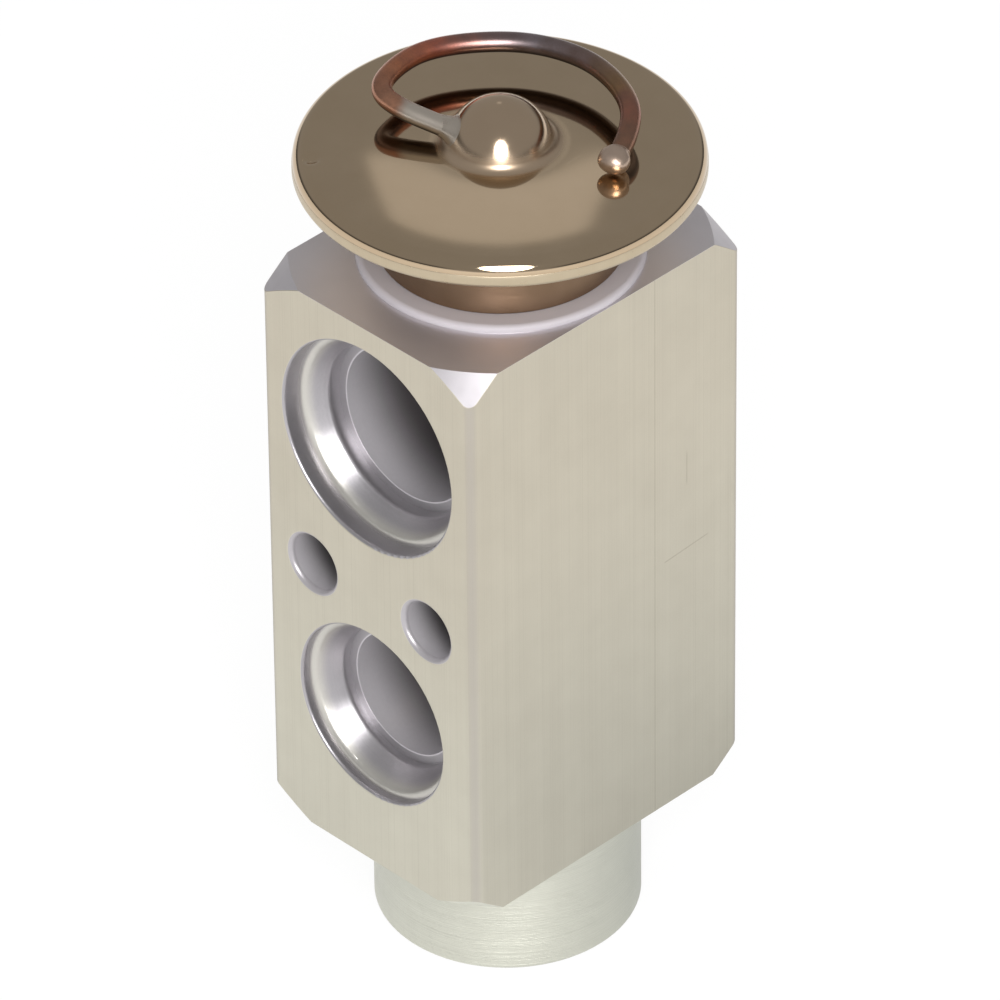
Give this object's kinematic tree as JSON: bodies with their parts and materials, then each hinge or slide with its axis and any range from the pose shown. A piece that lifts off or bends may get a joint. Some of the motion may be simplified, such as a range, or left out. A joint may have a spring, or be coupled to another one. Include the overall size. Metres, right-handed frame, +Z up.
{
  "type": "thermostatic expansion valve",
  "caption": "Block-type refrigerant expansion valve with a diaphragm head, charging tube, O-ring pipe ports and an adjustable spring-loaded ball.",
  "frame": {"origin": "centre of the round boss's bottom face, on the valve's axis", "axes": "+Z up along the valve's axis to the diaphragm head, -Y out of the pipe side, +Y out of the evaporator side"},
  "size_m": [0.0376, 0.0376, 0.0901],
  "materials": {
    "block_aluminium": "drawn and machined, satin",
    "head_steel": "bright pressed stainless steel",
    "weld_steel": "bright fused edge",
    "neck_metal": "turned, darkened",
    "copper": "drawn copper, lightly oxidised",
    "solder": "bright solder",
    "inner_steel": "ground or drawn steel",
    "inner_aluminium": "turned",
    "brass": "turned brass",
    "seal_rubber": "moulded rubber, matt"
  },
  "bodies": {
    "valve": {"valve_block": "block_aluminium", "lower_shell": "head_steel", "upper_shell": "head_steel", "diaphragm": "inner_steel", "rim_weld": "weld_steel", "head_neck": "neck_metal", "head_seal_ring": "seal_rubber", "rod_seal_ring": "seal_rubber", "seal_retainer": "inner_steel", "valve_seat": "inner_steel", "capillary_tube": "copper", "capillary_seal": "solder", "capillary_braze": "solder"},
    "push_rod": {"diaphragm_pad": "inner_aluminium", "sensing_rod": "inner_aluminium", "push_pin": "inner_steel", "valve_ball": "inner_steel", "ball_carrier": "brass"},
    "spring_rest": {"spring_seat": "brass", "superheat_spring": "inner_steel"},
    "adjuster": {"adjusting_screw": "brass", "screw_seal_ring": "seal_rubber"}
  },
  "joints": [
    {"name": "valve_stroke", "type": "slide", "parent": "valve", "child": "push_rod", "axis": [0, 0, -1], "range_m": [0, 0.0006], "stiffness_N_per_m": 5500, "deforming": ["superheat_spring", "diaphragm"]},
    {"name": "adjuster_travel", "type": "slide", "parent": "valve", "child": "spring_rest", "axis": [0, 0, 1], "range_m": [-0.00125, 0.00125], "deforming": ["superheat_spring"]},
    {"name": "adjuster_turn", "type": "hinge", "parent": "spring_rest", "child": "adjuster", "pos_m": [0, 0, 0.0024], "axis": [0, 0, 1], "range_deg": [-450, 450]}
  ],
  "couplings": [
    {"joint": "adjuster_travel", "follows": "adjuster_turn", "m_per_rad": 0.00015915}
  ]
}
